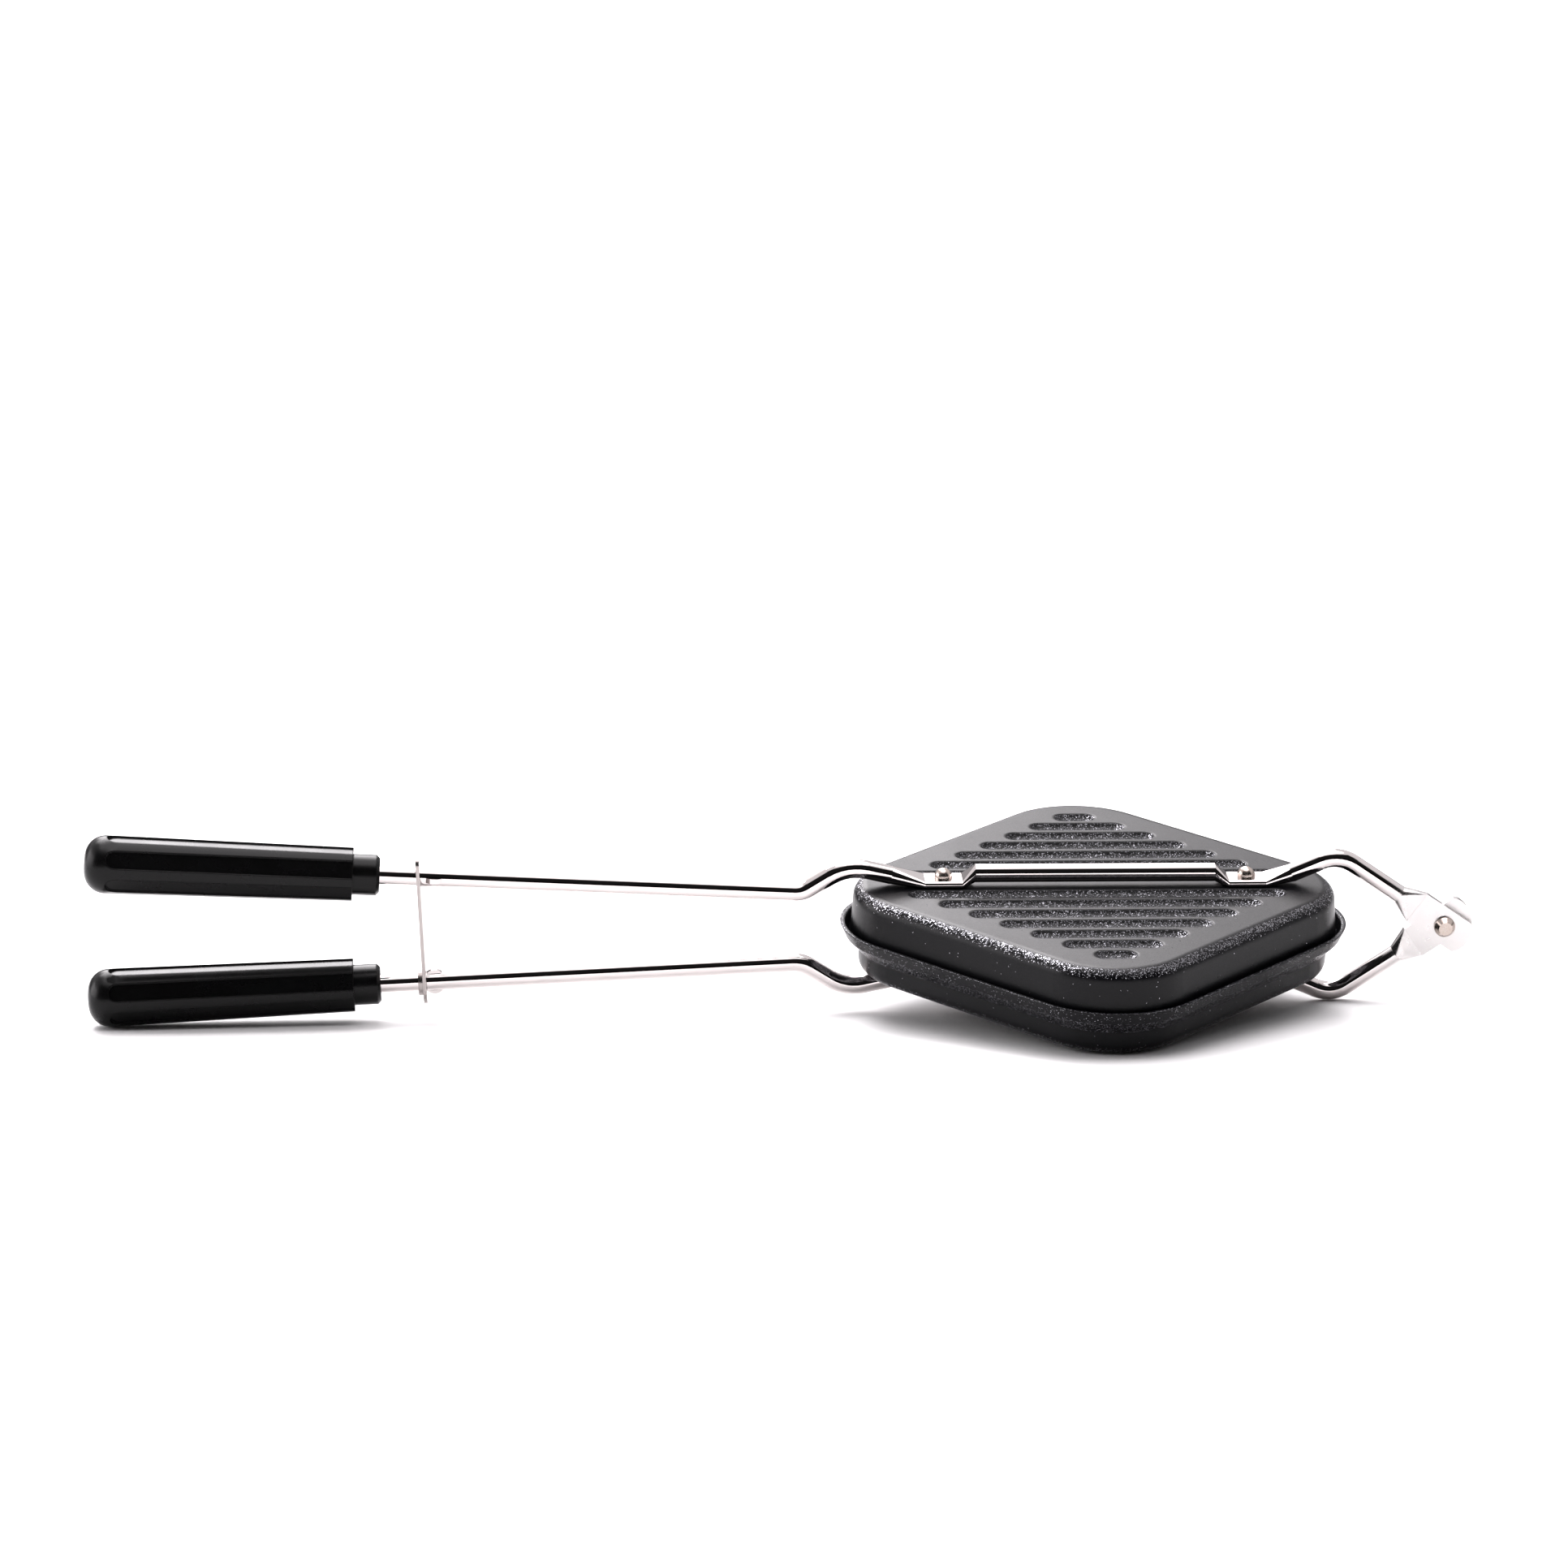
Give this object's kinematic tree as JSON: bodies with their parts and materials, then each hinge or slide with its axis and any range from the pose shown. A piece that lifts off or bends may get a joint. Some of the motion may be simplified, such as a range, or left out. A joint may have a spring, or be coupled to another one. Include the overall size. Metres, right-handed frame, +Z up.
{
  "type": "pie iron",
  "caption": "Hand-held stove-top pie iron: ribbed square pans on bent chrome rods that cross at a pivot, with fluted grips and a swinging hook latch.",
  "frame": {"origin": "centre of the closed iron's box, on the surface that it stands on", "axes": "+X along the handles from the grips to the pivot, -Y to the front corner of the pans, +Z up through the upper pan"},
  "size_m": [0.4108, 0.1504, 0.059],
  "materials": {
    "nonstick": "pressed aluminium with a dark satin non-stick coating that holds fine sparkling flecks",
    "chrome": "bright chrome plate on bent steel rod",
    "grip": "black moulded plastic, semi-gloss, with recessed panels",
    "rivet": "nickel-plated steel, slightly warm",
    "hook": "stamped and plated sheet steel"
  },
  "bodies": {
    "lower_half": {"lower_pan": "nonstick", "lower_arm": "chrome", "lower_grip": "grip", "pivot_rivet": "rivet", "latch_washer": "hook", "lower_rivet_grip_side": "rivet", "lower_rivet_pivot_side": "rivet"},
    "upper_half": {"upper_pan": "nonstick", "upper_arm": "chrome", "upper_grip": "grip", "upper_rivet_grip_side": "rivet", "upper_rivet_pivot_side": "rivet"},
    "hook": {"latch_hook": "hook"}
  },
  "joints": [
    {"name": "pan_hinge", "type": "hinge", "parent": "lower_half", "child": "upper_half", "pos_m": [0.19664, 0, 0.02952], "axis": [0, 1, 0], "range_deg": [0, 178]},
    {"name": "hook_swing", "type": "hinge", "parent": "lower_half", "child": "hook", "pos_m": [-0.10616, 0, 0.01306], "axis": [0.9988, 0, 0.0485], "range_deg": [0, 95]}
  ]
}
